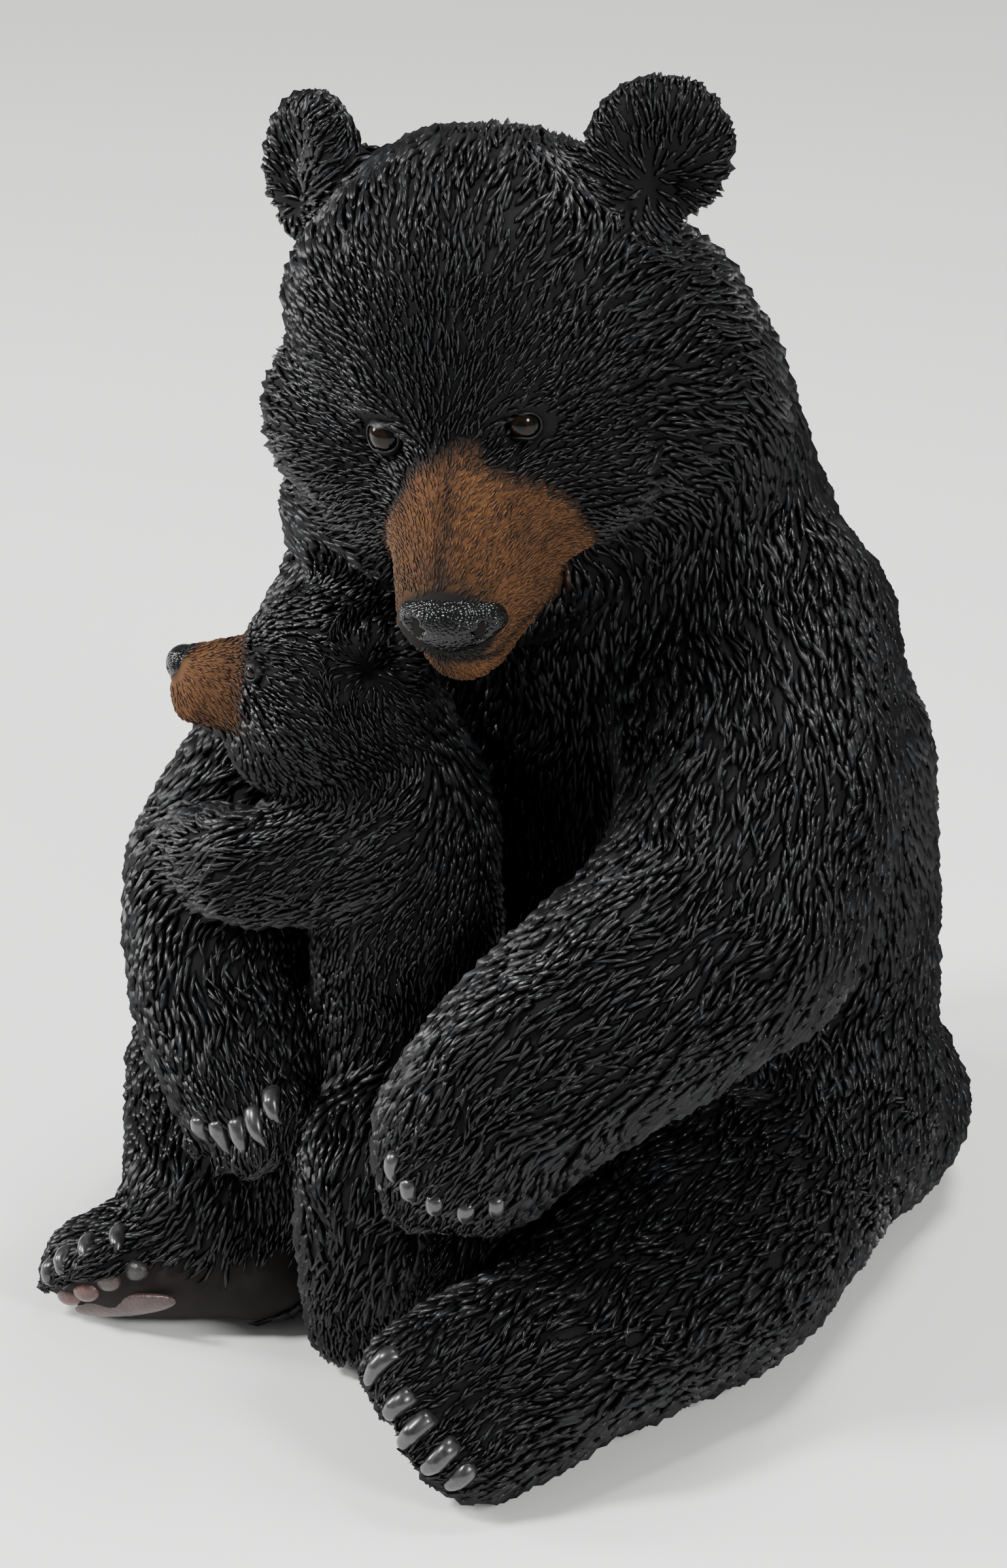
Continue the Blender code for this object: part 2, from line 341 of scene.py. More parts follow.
def tan_mask(points):
    """1 on the tan muzzles, 0 on the black coat."""
    gaps = [nearest_on_chain(points, rows)[0] for rows in TAN_CHAINS]
    mother = soft_step(0.5 - np.min(gaps, axis=0) / 7.0)
    near, _ = nearest_on_chain(points, CUB_TAN)
    cub = soft_step(0.5 - near / 6.0) * soft_step((points[:, 2] - 230) / 8.0)
    cub *= soft_step((points - CUB_CHEEK) @ CUB_OUT / 18.0 + 0.5)
    return np.maximum(mother, cub)


print("tan between the eyes:", round(float(tan_mask(np.array([[38.0, -180.0, 340.0]]))[0]), 2))

# %% [markdown]
# ## Sculpt the faces
# Eye hollows, brows and the mouth line are pressed into the skin with soft
# dabs, as a sculptor's thumb does: each dab has a middle, a reach and a
# depth, and moves the skin along its own normal. A groove is a row of dabs.
# The line of the mother's mouth is mirrored over her muzzle.

# %% Dabs and grooves in millimetres
DABS = (
    # Hollows round the mother's eyes
    ((43, -168, 353), 8, -2.6), ((17, -178, 346), 8, -2.6), ((62, -152, 350), 9, -1.6),
    ((0, -176, 342), 9, -1.6), ((52, -158, 346), 7, -1.4), ((9, -178, 338), 7, -1.4),
    # Brows and the dip between them, side of the muzzle, cub's jaw
    ((51, -156, 369), 10, 2.6), ((8, -173, 362), 10, 2.6), ((36, -172, 366), 9, -0.8),
    ((58, -140, 306), 12, 4.0), ((56, -158, 300), 9, 2.4), ((-67, -192, 238), 8, 3.6),
    # Her left ear's hollow, undersides of her front paws
    ((56, -89, 432), 8, -4.5), ((58, -84, 421), 8, -5.0), ((66, -221, 86), 15, -4.5),
    ((-38, -206, 80), 12, -3.0),
    # The rim of the cub's left ear
    ((4, -178, 279), 4.5, 4.0), ((12, -171, 276), 4.5, 4.0), ((13, -170, 266), 4.5, 3.6),
    ((4, -178, 258), 4.5, 2.6),
    # Hollows of her right ear and of the cub's ears
    ((-65, -132, 409), 8, -4.5), ((6, -177, 268), 5, -4.4), ((-34, -142, 272), 6, -3.0),
    # The cub's eye hollow and brows
    ((-42, -190, 258), 5, -1.6), ((-28, -192, 270), 8, 1.2), ((-40, -178, 275), 8, 1.2),
)
MOUTH = ((47, -196, 288), (55, -187, 285), (58, -176, 285), (58, -166, 289), (57, -153, 294),
         (57, -141, 299))
BRIDGE = ((36, -176, 362), (38, -180, 347), (42, -188, 332), (46, -196, 318), (48, -202, 309))
CUB_MOUTH = ((-70, -203, 240), (-62, -204, 236), (-54, -202, 235), (-46, -198, 236))
MUZZLE_MIDDLE = np.array([46.0, -192.0, 300.0])


def mirrored(points):
    """The same points on the other side of the mother's muzzle."""
    points = np.asarray(points, float)
    side = (points - MUZZLE_MIDDLE) @ MUZZLE_SIDE / (MUZZLE_SIDE @ MUZZLE_SIDE)
    return points - 2 * side[:, None] * MUZZLE_SIDE


# Rows of dabs: line, reach and depth
LINES = (
    (MOUTH, 1.8, -1.3), (mirrored(MOUTH), 1.8, -1.3),
    (BRIDGE, 2.6, -0.8), (CUB_MOUTH, 1.3, -0.8),
)


def gap_to_line(points, line):
    gap, _ = nearest_on_chain(points, [tuple(p) + (0.0,) for p in line])
    return gap


skin_points = np.array([v.co for v in skin.data.vertices])
skin_normals = np.array([v.normal for v in skin.data.vertices])
at = laid_out(skin_points)
push = np.zeros(len(at))
for middle, reach, depth in DABS:
    push += depth * np.exp(-((np.linalg.norm(at - middle, axis=1) / reach) ** 2))
for line, reach, depth in LINES:
    push += depth * np.exp(-((gap_to_line(at, line) / reach) ** 2))
skin.data.vertices.foreach_set("co", (skin_points + skin_normals * push[:, None] / 1000).ravel())
skin.data.update()
print("deepest press", round(push.min(), 1), "highest", round(push.max(), 1), "mm")

# %% [markdown]
# ## Bare places
# No fur grows on the eyes, nose pads and soles. A bare eye or nose is a ball
# with a middle and a reach. A sole is a short chain, as a limb is, below a
# plane that rises to the inner side of the foot.

# %% Bare places
BARE = (
    ((53, -159, 358), 8.4), ((9, -177, 350), 8.4), ((-33, -195, 261), 3.8), ((-50, -160, 268), 3.8),
    ((50, -197, 300), 10.0), ((60, -190, 299), 8.0), ((38, -200, 299), 8.0), ((-72, -194, 253), 6.5),
)
SOLES = (((-60, -216, 22, 17), (-34, -198, 26, 17)), ((-96, -226, 12, 9), (-72, -222, 20, 10)))


def bare_mask(points):
    """1 where no fur grows."""
    bare = np.zeros(len(points))
    for middle, reach in BARE:
        bare = np.maximum(bare, np.linalg.norm(points - middle, axis=1) < reach)
    return bare


def sole_mask(points):
    """1 on the smooth sole, which only shows under the mother's right foot."""
    gaps = [nearest_on_chain(points, rows)[0] for rows in SOLES]
    low = points[:, 2] < 24 + 0.22 * (points[:, 0] + 100)
    return ((np.minimum(*gaps) < 2.5) & low).astype(float)


# %% [markdown]
# ## One carved lock
# Up close each lock is a small pointed ridge, rounder on top and flat below.
# It starts as a three-sided rod whose ends are closed by fans. Pulling the
# two end points out makes a spindle of twelve triangles. It is modelled once
# here, and bent along the skin for each copy later.

# %% Model one lock
nothing_selected()
bpy.ops.mesh.primitive_cylinder_add(vertices=3, radius=1.0, depth=0.40, end_fill_type="TRIFAN")
lock = bpy.context.object
lock.name = "one_lock"
bpy.ops.object.mode_set(mode="EDIT")
work = bmesh.from_edit_mesh(lock.data)
for end, pull in ((-1, -0.30), (1, 0.30)):
    for vert in work.verts:
        vert.select = abs(vert.co.x) < 0.01 and abs(vert.co.y) < 0.01 and vert.co.z * end > 0
    work.select_flush_mode()
    bmesh.update_edit_mesh(lock.data)
    bpy.ops.transform.translate(value=(0, 0, pull))
bpy.ops.mesh.select_all(action="SELECT")
bpy.ops.transform.translate(value=(0, 0, 0.5))
bpy.ops.object.mode_set(mode="OBJECT")
# Along the lock is z from 0 to 1; the first corner of each ring points to +Y
lock_verts = np.array([tuple(v.co) for v in lock.data.vertices]).round(5)
lock_faces = [tuple(face.vertices) for face in lock.data.polygons]
ALONG = lock_verts[:, 2]
ACROSS = lock_verts[:, 0] / 0.866
# The ridge stands up by 1, the ends stay level, the flat back is a little low
at_top = lock_verts[:, 1] > 0.5
at_end = np.abs(lock_verts[:, 1]) < 0.01
ABOVE = np.where(at_top, 1.0, np.where(at_end, 0.0, -0.35))
print("lock:", len(lock_verts), "corners,", triangles(lock), "triangles, along", ALONG.round(2))

# %% [markdown]
# ## Where the locks sit
# Carved locks are spaced evenly, wherever the coat shows. Many candidates are
# strewn on the skin, then each one that is kept clears its near neighbours,
# as sown seedlings are thinned. Fine hair on the face is spaced closer.

# %% Strew and thin the lock roots
rng = np.random.default_rng(7)
SPARE = 1.0
skin_tree = BVHTree.FromObject(skin, bpy.context.evaluated_depsgraph_get())
skin_points = np.array([v.co for v in skin.data.vertices])
skin_normals = np.array([v.normal for v in skin.data.vertices])
# Three corners of each square of the skin, and its last one
three = np.array([list(f.vertices[:3]) for f in skin.data.polygons])
last = np.array([list(f.vertices)[-1] for f in skin.data.polygons])
face_normals = skin_normals[three].mean(axis=1) + skin_normals[last]
face_normals /= np.linalg.norm(face_normals, axis=1)[:, None]
face_area = np.array([f.area for f in skin.data.polygons])
face_middle = laid_out(skin_points[three].mean(axis=1))


# Finer coat: middle, reach, share of a body lock, and width of the change
FINER = (
    ((22, -162, 350), 44, 0.56, 34), ((44, -176, 322), 40, 0.46, 20),
    ((49, -80, 431), 26, 0.66, 10), ((-61, -127, 415), 26, 0.66, 10),
    ((-26, -168, 250), 36, 0.58, 12), ((-6, -160, 170), 44, 0.80, 16), ((-8, -178, 40), 36, 0.74, 10),
    ((78, -236, 34), 20, 0.66, 22), ((-90, -222, 28), 20, 0.66, 22),
    ((-34, -206, 90), 20, 0.66, 22), ((62, -212, 104), 20, 0.66, 22),
)
MUZZLE_SIZE = 0.34


def coat_size(points):
    """Share of a full body lock: small on faces and paws, smallest on muzzles."""
    size = np.ones(len(points))
    for middle, reach, share, soft in FINER:
        gap = np.linalg.norm(points - middle, axis=1) - reach
        size = np.minimum(size, share + (1 - share) * soft_step(gap / soft))
    return np.where(tan_mask(points) > 0.4, MUZZLE_SIZE, size)


# Candidates strewn for each square of one spacing's side
STREWN = 4.0


def sow(low, high, spacing):
    """Even roots on the skin where the coat size lies between low and high."""
    size = coat_size(face_middle)
    keep = (size >= low) & (size < high) & (face_middle[:, 2] > 1.0)
    keep &= (bare_mask(face_middle) < 0.5) & (sole_mask(face_middle) < 0.5)
    # Nothing grows on the flat underside that rests on the floor
    keep &= ~((face_normals[:, 2] < -0.75) & (face_middle[:, 2] < 9.0))
    index = np.nonzero(keep)[0]
    area = face_area[index]
    tries = int(area.sum() / (spacing * spacing) * STREWN)
    chosen = rng.choice(index, size=tries, p=area / area.sum())
    shares = rng.dirichlet((1, 1, 1), size=tries)
    roots = (skin_points[three[chosen]] * shares[:, :, None]).sum(axis=1)
    tree = KDTree(tries)
    for k, point in enumerate(roots):
        tree.insert(point, k)
    tree.balance()
    alive = np.ones(tries, bool)
    for k, point in enumerate(roots):
        if alive[k]:
            for _, other, _ in tree.find_range(point, spacing):
                if other != k:
                    alive[other] = False
    return roots[alive], face_normals[chosen[alive]]


# name: size from, size to, spacing, length, width and height of a lock in metres
COATS = {
    "body_fur": (0.90, 9.0, 0.00265, 0.0125, 0.00120, 0.0021),
    "short_fur": (0.62, 0.90, 0.00200, 0.0086, 0.00088, 0.0015),
    "face_fur": (0.44, 0.62, 0.00155, 0.0068, 0.00064, 0.0014),
    "muzzle_hair": (0.0, 0.44, 0.00105, 0.0034, 0.00045, 0.00045),
}
roots = {}
for name, (low, high, spacing, *_) in COATS.items():
    roots[name] = sow(low, high, spacing * SPARE)
    print(name, "has", len(roots[name][0]), "locks")

# %% [markdown]
# ## Lay the locks along the flow
# From its root each lock walks three short steps over the skin, each step in
# the fur's direction there, so long locks curve with the body. The spindle is
# bent along those steps. Its root sinks into the skin and its tip stands a
# little proud, which gives the shingled look of carved fur.

# %% Walk over the skin
SWAY = 0.22
TUFT_LEAN = 0.24


def tufts(points):
    """Neighbouring locks lean together: a slow wave over the body, in radians."""
    x, y, z = points.T
    wave = np.sin(x / 7.1 + 0.6 * np.sin(z / 9.0)) * np.sin(z / 8.3 + y / 11.0)
    wave = wave + 0.6 * np.sin(y / 6.1 - z / 12.0)
    return TUFT_LEAN * wave * soft_step((coat_size(points) - 0.35) / 0.6)


def walk(start, normals, length):
    """Four stations over the skin for each lock, with the normal at each."""
    paths, ups = [start.copy()], [normals.copy()]
    turn = rng.normal(0.0, SWAY, len(start)) + tufts(laid_out(start))
    here, up = start.copy(), normals.copy()
    for share in (0.30, 0.40, 0.30):
        heading = flow(laid_out(here))
        heading -= (heading * up).sum(axis=1)[:, None] * up
        heading /= np.linalg.norm(heading, axis=1)[:, None] + 1e-9
        side = np.cross(up, heading)
        heading = heading * np.cos(turn)[:, None] + side * np.sin(turn)[:, None]
        ahead = here + heading * (length * share)[:, None]
        for k, point in enumerate(ahead):
            found, _, index, _ = skin_tree.find_nearest(point)
            here[k] = found
            up[k] = face_normals[index]
        paths.append(here.copy())
        ups.append(up.copy())
    return np.array(paths), np.array(ups)


# %% Bend the locks
# Station of each corner, and each station's lift off the skin in lock heights
STATION = np.round(np.interp(ALONG, (0.0, 0.30, 0.70, 1.0), (0, 1, 2, 3))).astype(int)
LIFT = (-0.55, 0.20, 0.65, 0.95)


def bend_locks(start, normals, length, width, height):
    """Corners of one copy of the lock along each walk."""
    count = len(start)
    lengths = length * rng.uniform(0.75, 1.25, count)
    widths = width * rng.uniform(0.75, 1.25, count)
    heights = height * rng.uniform(0.6, 1.4, count)
    paths, ups = walk(start, normals, lengths)
    corners = np.zeros((count, len(lock_verts), 3))
    for k, at in enumerate(STATION):
        ahead = paths[min(at + 1, 3)] - paths[max(at - 1, 0)]
        side = np.cross(ups[at], ahead)
        side /= np.linalg.norm(side, axis=1)[:, None] + 1e-9
        thick = 1.0 if at == 1 else 0.82
        corners[:, k] = (paths[at] + side * (ACROSS[k] * widths * thick)[:, None]
                         + ups[at] * ((LIFT[at] + ABOVE[k] * 0.8) * heights)[:, None])
    # No lock dips below the floor
    corners[:, :, 2] = np.maximum(corners[:, :, 2], 0.0)
    return corners


def join_locks(name, corners):
    """All the bent locks as one mesh."""
    count = len(corners)
    mesh = bpy.data.meshes.new(name)
    mesh.vertices.add(count * len(lock_verts))
    mesh.vertices.foreach_set("co", corners.ravel())
    sides = np.array([len(f) for f in lock_faces])
    loops = np.array([v for f in lock_faces for v in f])
    mesh.loops.add(count * len(loops))
    nth = np.arange(count)[:, None]
    mesh.loops.foreach_set("vertex_index", (loops[None] + len(lock_verts) * nth).ravel())
    mesh.polygons.add(count * len(sides))
    starts = np.cumsum(sides) - sides
    mesh.polygons.foreach_set("loop_start", (starts[None] + len(loops) * nth).ravel())
    mesh.update()
    mesh.polygons.foreach_set("use_smooth", np.ones(count * len(sides), bool))
    ob = bpy.data.objects.new(name, mesh)
    add_to_scene(ob)
    return ob


# %% [markdown]
# ## A flat sheet for the locks
# To bake the paint, each lock is unrolled on its own small cell of a square
# sheet. Its three long sides lie beside each other, a third of the cell each.

# %% Unroll the locks
def thirds_round(x, y):
    """Angle round the lock, counted in sides."""
    return (math.degrees(math.atan2(y, x)) + 390) % 360 / 120


lock_uv = []
for face in lock_faces:
    middle = np.mean([[ACROSS[v], lock_verts[v, 1]] for v in face], axis=0)
    side = int(thirds_round(*middle))
    for v in face:
        turned = thirds_round(ACROSS[v], lock_verts[v, 1]) - side
        turned = turned + 3 if turned < -0.6 else turned - 3 if turned > 1.6 else turned
        across = 0.5 if at_end[v] else min(max(turned, 0.0), 1.0)
        lock_uv.append(((side + 0.06 + 0.88 * across) / 3, 0.04 + 0.92 * ALONG[v]))
lock_uv = np.array(lock_uv)


def unroll(ob, count):
    """Gives each lock its cell of the sheet."""
    cells = math.ceil(math.sqrt(count))
    cell = np.stack([np.arange(count) % cells, np.arange(count) // cells], axis=1)
    flat = (cell[:, None, :] + 0.05 + 0.9 * lock_uv[None]) / cells
    ob.data.uv_layers.new(name="OFBake").data.foreach_set("uv", flat.ravel())


# %% [markdown]
# ## Paint on the coat
# The painter sprayed the cast near-black, dry-brushed a little grey on some
# raised tips, and brushed tan on the muzzles with darker hair towards the
# nose. The grey tips are partly a painted highlight, and painted shade darkens
# the roots of the locks and the hollows of the ears. The colour of each corner
# is stored on the mesh as an attribute that the paint material reads.

# %% Colours by place
BLACK = np.array(linear("#0e0e0f"))
SHADE = np.array(linear("#080808"))
GREY_TIP_AND_HIGHLIGHT = np.array(linear("#3a3f45"))
TAN = np.array(linear("#412817"))
TAN_LIGHT = np.array(linear("#5f4227"))
TAN_DARK = np.array(linear("#1c110a"))
LIP = np.array(linear("#0f0d0c"))
SOLE = np.array(linear("#191615"))
# Black round the nose pads: middle and half sizes
NOSES = (((47.5, -192.0, 298.0), (15.0, 12.5, 12.0)), ((-69.0, -190.0, 253.0), (6.5, 6.5, 7.6)))
NOSE_TOP = (48.0, -198.0, 302.0)
BETWEEN_EYES = (38.0, -178.0, 347.0)
# Painted shade in the hollows of the ears: middle and reach
EAR_HOLLOW_SHADE = (((56, -90, 432), 8.0), ((59, -84, 421), 8.5), ((-65, -133, 409), 8.5),
           ((6, -178, 268), 5.0), ((-34, -142, 272), 5.0))


def coat_colour(points, along, spread):
    """Colour at each point; along runs from root to tip, spread is the lock's luck."""
    tan = tan_mask(points)
    edge = 1 - np.abs(2 * tan - 1)
    tan = np.clip(tan + edge * (spread - 0.5) * 1.2, 0, 1)[:, None]
    # Painted shade: each lock darkens towards its root, where it sinks into the skin
    black = SHADE + (BLACK - SHADE) * soft_step(along * 1.6)[:, None]
    # Grey dry-brush on some raised tips, partly a painted highlight
    tips = np.clip(along - 0.55, 0, 1)[:, None] * (spread > 0.80)[:, None] * 0.9
    black = black + (GREY_TIP_AND_HIGHLIGHT - black) * tips
    # Darker hair near the nose, along the bridge, and here and there
    nose_gap = np.linalg.norm(points - np.array(NOSE_TOP), axis=1)
    centre = np.abs((points - np.array(BETWEEN_EYES)) @ MUZZLE_SIDE)
    dark = 0.45 * soft_step((26 - nose_gap) / 12) + 0.45 * soft_step((5 - centre) / 4)
    dark = dark + 0.35 * (spread < 0.35)
    brown = TAN + (TAN_LIGHT - TAN) * spread[:, None] * soft_step(along)[:, None]
    brown = brown + (TAN_DARK - brown) * np.clip(dark, 0, 1)[:, None]
    lips = np.minimum(gap_to_line(points, MOUTH), gap_to_line(points, mirrored(MOUTH)))
    lips = np.minimum(lips, gap_to_line(points, CUB_MOUTH) * 1.8)
    mixed = black + (brown - black) * tan
    pads = [np.linalg.norm((points - middle) / reach, axis=1) for middle, reach in NOSES]
    dark = np.maximum(soft_step((2.6 - lips) / 1.4), soft_step((1.25 - np.minimum(*pads)) / 0.15))
    mixed = mixed + (LIP - mixed) * dark[:, None]
    # Painted shade darkens the colour in each ear hollow
    for middle, reach in EAR_HOLLOW_SHADE:
        hollow_shade = np.exp(-((np.linalg.norm(points - middle, axis=1) / reach) ** 2))[:, None]
        mixed = mixed * (1 - 0.85 * hollow_shade)
    return mixed


def store_colour(ob, colours):
    paint = ob.data.color_attributes.new(name="paint", type="FLOAT_COLOR", domain="POINT")
    flat = np.ones((len(colours), 4))
    flat[:, :3] = colours
    paint.data.foreach_set("color", flat.ravel())


print("black coat", BLACK.round(4), "tan", TAN.round(3))

# %% [markdown]
# ## Satin paint for the coat
# Acrylic paint sprayed on polyurethane resin dries to a satin film: it shines
# on ridges and stays dark in the cuts. Its IOR is near 1.5. A grain of about
# half a millimetre stands for brush marks and casting pores; the real ones
# are a little finer, and would not show.

# %% Coat paint
satin = new_material("satin acrylic on cast resin", [("IOR", 1.5), ("Specular IOR Level", 0.26)])
stored = node(satin, "ShaderNodeAttribute", [("attribute_name", "paint")])
where = node(satin, "ShaderNodeTexCoord")
# Worn patches of about 17 mm
patches = node(satin, "ShaderNodeTexNoise", [("Scale", 60.0), ("Detail", 3.0)],
               [("Vector", where, "Object")])
shades = node(satin, "ShaderNodeMapRange",
              [("From Min", 0.3), ("From Max", 0.7), ("To Min", 0.75), ("To Max", 1.25)],
              [("Value", patches, "Fac")])
tinted = node(satin, "ShaderNodeVectorMath", [("operation", "SCALE")],
              [("Vector", stored, "Color"), ("Scale", shades, "Result")])
worn = node(satin, "ShaderNodeMapRange",
            [("From Min", 0.35), ("From Max", 0.65), ("To Min", 0.30), ("To Max", 0.46)],
            [("Value", patches, "Fac")])
pores = node(satin, "ShaderNodeTexNoise", [("Scale", 2000.0), ("Detail", 2.0)],
             [("Vector", where, "Object")])
rise = node(satin, "ShaderNodeBump", [("Strength", 0.35), ("Distance", 0.0002)], [("Height", pores, "Fac")])
plug(satin, tinted, "Vector", "Base Color")
plug(satin, worn, "Result", "Roughness")
plug(satin, rise, "Normal", "Normal")
print("coat paint has", len(satin.node_tree.nodes), "nodes")

# %% [markdown]
# ## Duller paints for the muzzles and the cuts
# The tan was brushed on by hand in thin, matt strokes over the dry black, so
# the muzzle hair shines less than the coat. Between the locks the spray left
# a dusty film that hardly shines, and makes the cuts look deeper than they
# are. Both start as a copy of the coat paint.

# %% Muzzle paint and the paint in the cuts
def duller(name, roughness, specular):
    """A copy of the coat paint with one roughness all over."""
    made = satin.copy()
    made.name = name
    shader = made.node_tree.nodes["Principled BSDF"]
    for link in list(shader.inputs["Roughness"].links):
        made.node_tree.links.remove(link)
    shader.inputs["Roughness"].default_value = roughness
    shader.inputs["Specular IOR Level"].default_value = specular
    return made


brushed = duller("matt tan brushed on resin", 0.62, 0.25)
dusty = duller("flat black in the cuts", 0.75, 0.12)

# %% [markdown]
# ## Dress the whole statue
# Every coat is bent, joined, unrolled and painted in the same steps. The big
# body coat is laid in batches from the floor up, so that no mesh gets too big
# to edit. The skin takes the colour of the coat over it.

# %% Lay every coat and paint it
BATCH = 15000
fur_pieces = []
for name, (*_, length, width, height) in COATS.items():
    start, normals = roots[name]
    batches = np.array_split(np.argsort(start[:, 2]), math.ceil(len(start) / BATCH))
    for k, chosen in enumerate(batches):
        piece = name if len(batches) == 1 else f"{name}_{k + 1}"
        corners = bend_locks(start[chosen], normals[chosen],
                             length * SPARE, width * SPARE, height * SPARE)
        ob = join_locks(piece, corners)
        count = len(chosen)
        unroll(ob, count)
        spread = np.repeat(rng.random(count), len(lock_verts))
        along = np.tile(ALONG, count)
        store_colour(ob, coat_colour(laid_out(corners.reshape(-1, 3)), along, spread))
        ob.data.materials.append(brushed if name == "muzzle_hair" else satin)
        fur_pieces.append(ob)
        print(piece, count, "locks,", triangles(ob), "triangles")

# %% Paint the skin under the locks
skin_at = laid_out(skin_points)
# The ground colour carries the same painted shade in the ear hollows
ground = coat_colour(skin_at, np.full(len(skin_at), 0.6), np.full(len(skin_at), 0.5))
sole = sole_mask(skin_at)[:, None]
ground = ground + (SOLE - ground) * sole
store_colour(skin, ground)
skin.data.materials.append(dusty)
skin.data.polygons.foreach_set("use_smooth", np.ones(len(skin.data.polygons), bool))
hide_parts("mother_and_cub")

# %% [markdown]
# ## Claws
# The claws are smooth, grey and glossy, like thick fingernails. One claw is
# drawn as a circle that is extruded in steps, each a little narrower. Each
# copy is bent over its toe, from root to tip.

# %% Model one claw
nothing_selected()
bpy.ops.mesh.primitive_circle_add(vertices=14, radius=0.5, fill_type="NGON")
claw = bpy.context.object
claw.name = "one_claw"
bpy.ops.object.mode_set(mode="EDIT")
for step, share in enumerate((1.06, 1.02, 0.96, 0.90, 0.80, 0.62, 0.36)):
    bpy.ops.mesh.extrude_region_move(TRANSFORM_OT_translate={"value": (0, -0.012 * step, 1 / 7.4)})
    bpy.ops.transform.resize(value=(share, share, 1.0))
bpy.ops.mesh.select_all(action="SELECT")
bpy.ops.mesh.normals_make_consistent(inside=False)
bpy.ops.object.mode_set(mode="OBJECT")
rounder = claw.modifiers.new("rounder", "SUBSURF")
rounder.levels = rounder.render_levels = 1
bpy.ops.object.modifier_apply(modifier="rounder")
print("claw:", triangles(claw), "triangles")

# %% Copy it to every toe
# Each row: root, tip and width in millimetres
CLAWS = {
    "left_foot_claws": (((67, -243, 55), (56, -249, 39), 7.0), ((77, -248, 45), (67, -257, 33), 7.2),
        ((84, -246, 38), (76, -257, 25), 7.4), ((93, -245, 31), (83, -256, 17), 7.2),
        ((100, -245, 24), (90, -252, 11), 6.6)),
    "right_foot_claws": (((-86, -216, 38), (-76, -229, 36), 6.4), ((-95, -222, 34), (-85, -234, 30), 6.6),
        ((-100, -227, 30), (-94, -237, 22), 6.4), ((-104, -230, 25), (-104, -236, 14), 6.0)),
    "right_paw_claws": (((-22, -205, 111), (-12, -211, 101), 6.8), ((-27, -210, 104), (-17, -214, 92), 7.0),
        ((-32, -213, 99), (-25, -215, 86), 7.0), ((-40, -215, 96), (-35, -213, 82), 6.8),
        ((-48, -216, 95), (-46, -212, 81), 6.4)),
    "left_paw_claws": (((53, -228, 120), (52, -228, 106), 6.0), ((60, -230, 113), (59, -230, 99), 6.2),
        ((70, -229, 108), (67, -227, 94), 6.2), ((80, -224, 107), (77, -222, 93), 6.0),
        ((88, -218, 109), (86, -215, 96), 5.8)),
}
claw_verts = np.array([tuple(v.co) for v in claw.data.vertices]).round(5)
claw_verts[:, 2] /= claw_verts[:, 2].max()
# Share of the way from root to tip, and lift off the skin in claw widths
CLAW_STATIONS = ((0, -0.10), (0.25, 0.16), (0.5, 0.26), (0.75, 0.26), (1.0, 0.16))


def bend_claw(root, tip, width):
    """Claw corners laid over the toe: five stations follow the skin from root to tip."""
    spots, ups = [], []
    for share, lift in CLAW_STATIONS:
        found, up, _, _ = skin_tree.find_nearest(place(*root).lerp(place(*tip), share))
        spots.append(found + up * lift * width / 1000)
        ups.append(up)
    spots, ups = np.array(spots), np.array(ups)
    ups = (ups + ups.mean(axis=0)) / np.linalg.norm(ups + ups.mean(axis=0), axis=1)[:, None]
    down = np.clip(claw_verts[:, 2], 0, 1)
    stops = np.linspace(0, 1, 5)
    centre = np.stack([np.interp(down, stops, spots[:, k]) for k in range(3)], axis=1)
    back = np.stack([np.interp(down, stops, ups[:, k]) for k in range(3)], axis=1)
    across = np.cross(back, spots[-1] - spots[0])
    across /= np.linalg.norm(across, axis=1)[:, None]
    return centre + (across * claw_verts[:, :1] + back * claw_verts[:, 1:2] * 0.9) * width / 1000


claw_pieces = []
for name, rows in CLAWS.items():
    copies = []
    for root, tip, width in rows:
        copy = bpy.data.objects.new(name, claw.data.copy())
        add_to_scene(copy)
        copy.data.vertices.foreach_set("co", bend_claw(root, tip, width).ravel())
        copy.data.update()
        copies.append(copy)
    nothing_selected()
    for copy in copies:
        copy.select_set(True)
    bpy.context.view_layer.objects.active = copies[0]
    bpy.ops.object.join()
    made = bpy.context.object
    made.name = name
    bpy.ops.object.shade_smooth()
    claw_pieces.append(made)
    print(name, triangles(made), "triangles")
bpy.data.objects.remove(claw)
bpy.data.objects.remove(lock)

# %% [markdown]
# ## Claw enamel
# The claws are painted a dark grey and varnished. Faint cloudy streaks, two
# to three millimetres wide, show under the varnish.

# %% Claw finish
horn = new_material("varnished grey claw paint", [("IOR", 1.5), ("Roughness", 0.30), ("Coat Weight", 0.3)])
where = node(horn, "ShaderNodeTexCoord")
streaks = node(horn, "ShaderNodeTexNoise", [("Scale", 420.0), ("Detail", 3.0)],
               [("Vector", where, "Object")])
shades = node(horn, "ShaderNodeValToRGB", [], [("Fac", streaks, "Fac")])
shades.color_ramp.elements[0].position = 0.32
shades.color_ramp.elements[0].color = (*linear("#151516"), 1)
shades.color_ramp.elements[1].position = 0.70
shades.color_ramp.elements[1].color = (*linear("#2f2e30"), 1)
plug(horn, shades, "Color", "Base Color")
for ob in claw_pieces:
    ob.data.materials.append(horn)

# %% [markdown]
# ## Foot pads
# Under the mother's turned-up right foot the toes have round pads, pink at
# the outer toes and grey at the inner ones, with a long ball pad behind
# them. Each pad starts as a ball; its back is pushed flat where it grows out
# of the foot, and the ball pad is stretched along the toes.

# %% Model the pads under the right foot
# Each row: middle and radius in millimetres, and the share of grey in its pink
TOE_PADS = (((-98, -230, 12), 5.6, 0.0), ((-88, -232, 18), 5.6, 0.15),
            ((-79.5, -229.5, 24), 5.4, 0.75), ((-71, -224, 28.5), 5.4, 1.0))
FOOT_OUT = (0.25, -0.90, -0.36)
PINK = linear("#523531")
PAD_GREY = linear("#262222")


